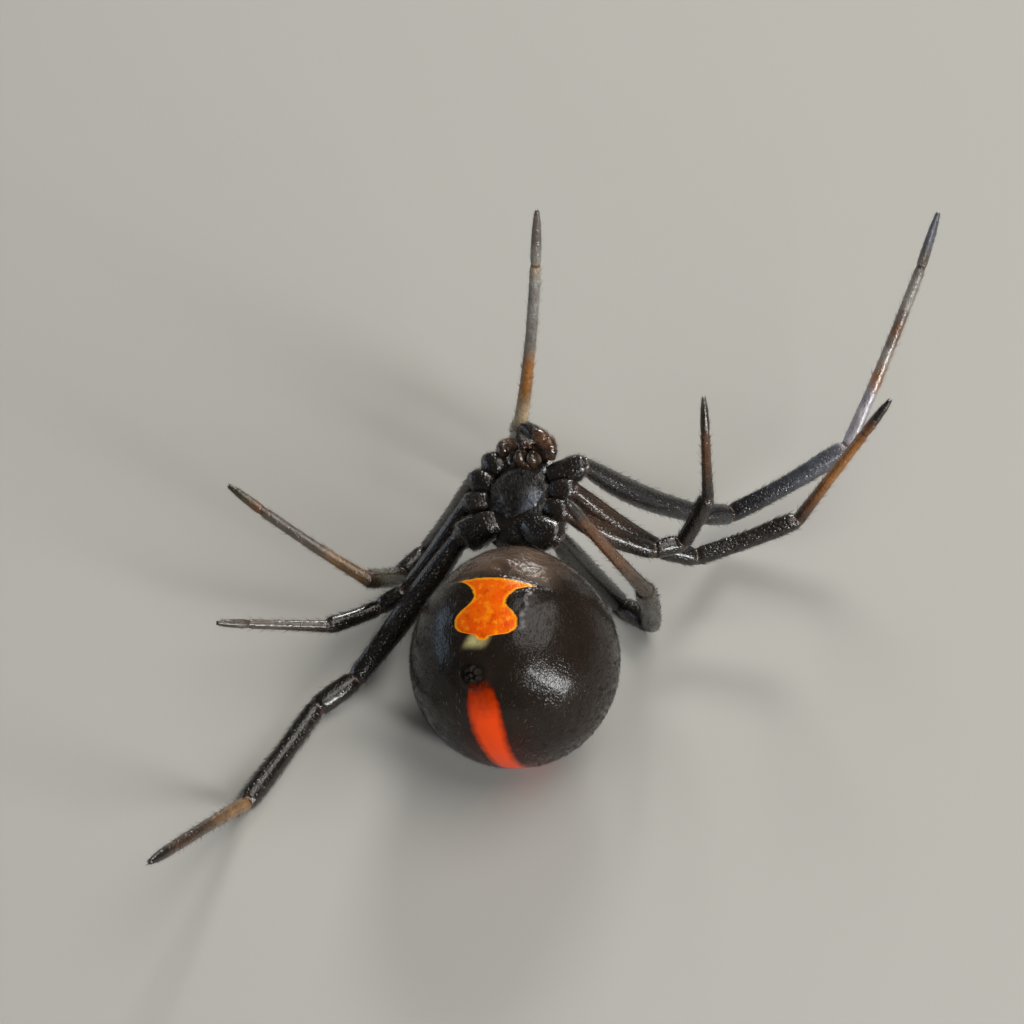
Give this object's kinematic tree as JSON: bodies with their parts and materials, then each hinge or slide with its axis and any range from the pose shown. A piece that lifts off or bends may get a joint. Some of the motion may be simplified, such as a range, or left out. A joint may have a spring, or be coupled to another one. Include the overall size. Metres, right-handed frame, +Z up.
{
  "type": "redback spider model",
  "caption": "Still life-size model of an adult female redback spider lying belly up, round abdomen with a red hourglass and stripe, long jointed legs raised in the air.",
  "frame": {"origin": "centre of the whole part's box in plan, on the floor", "axes": "+Z up, out of the upturned belly; +Y from the spinnerets towards the head; +X towards the spider's left side"},
  "size_m": [0.0266, 0.0254, 0.0136],
  "materials": {
    "abdomen": "glossy black-brown cuticle with very short fine hair; red hourglass and stripe in the render",
    "spinnerets": "satin dark brown cuticle",
    "carapace": "glossy black-brown cuticle with sparse hair",
    "sternum": "glossy black cuticle with stiff hair",
    "mouthparts": "glossy dark brown cuticle, darker and hairy at the tips",
    "leg": "very glossy black cuticle with rows of bristles",
    "metatarsus": "glossy translucent orange-brown cuticle with bristles",
    "tarsus": "satin black-brown cuticle with dense short bristles"
  },
  "bodies": {
    "root": {"abdomen": "abdomen", "spinnerets": "spinnerets", "pedicel": "sternum", "carapace": "carapace", "sternum": "sternum", "mouthparts": "mouthparts", "chelicera_left": "mouthparts", "chelicera_right": "mouthparts", "palp_left": "mouthparts", "palp_right": "mouthparts", "leg_left_1_coxa": "leg", "leg_left_1_femur": "leg", "leg_left_1_patella": "leg", "leg_left_1_tibia": "leg", "leg_left_1_metatarsus": "metatarsus", "leg_left_1_tarsus": "tarsus", "leg_left_2_coxa": "leg", "leg_left_2_femur": "leg", "leg_left_2_patella": "leg", "leg_left_2_tibia": "leg", "leg_left_2_metatarsus": "metatarsus", "leg_left_2_tarsus": "tarsus", "leg_left_3_coxa": "leg", "leg_left_3_femur": "leg", "leg_left_3_patella": "leg", "leg_left_3_tibia": "leg", "leg_left_3_metatarsus": "metatarsus", "leg_left_3_tarsus": "tarsus", "leg_left_4_coxa": "leg", "leg_left_4_femur": "leg", "leg_left_4_patella": "leg", "leg_left_4_tibia": "leg", "leg_left_4_metatarsus": "metatarsus", "leg_left_4_tarsus": "tarsus", "leg_right_1_coxa": "leg", "leg_right_1_femur": "leg", "leg_right_1_patella": "leg", "leg_right_1_tibia": "leg", "leg_right_1_metatarsus": "metatarsus", "leg_right_1_tarsus": "tarsus", "leg_right_2_coxa": "leg", "leg_right_2_femur": "leg", "leg_right_2_patella": "leg", "leg_right_2_tibia": "leg", "leg_right_2_metatarsus": "metatarsus", "leg_right_2_tarsus": "tarsus", "leg_right_3_coxa": "leg", "leg_right_3_femur": "leg", "leg_right_3_patella": "leg", "leg_right_3_tibia": "leg", "leg_right_3_metatarsus": "metatarsus", "leg_right_3_tarsus": "tarsus", "leg_right_4_coxa": "leg", "leg_right_4_femur": "leg", "leg_right_4_patella": "leg", "leg_right_4_tibia": "leg", "leg_right_4_metatarsus": "metatarsus", "leg_right_4_tarsus": "tarsus"}
  },
  "joints": []
}
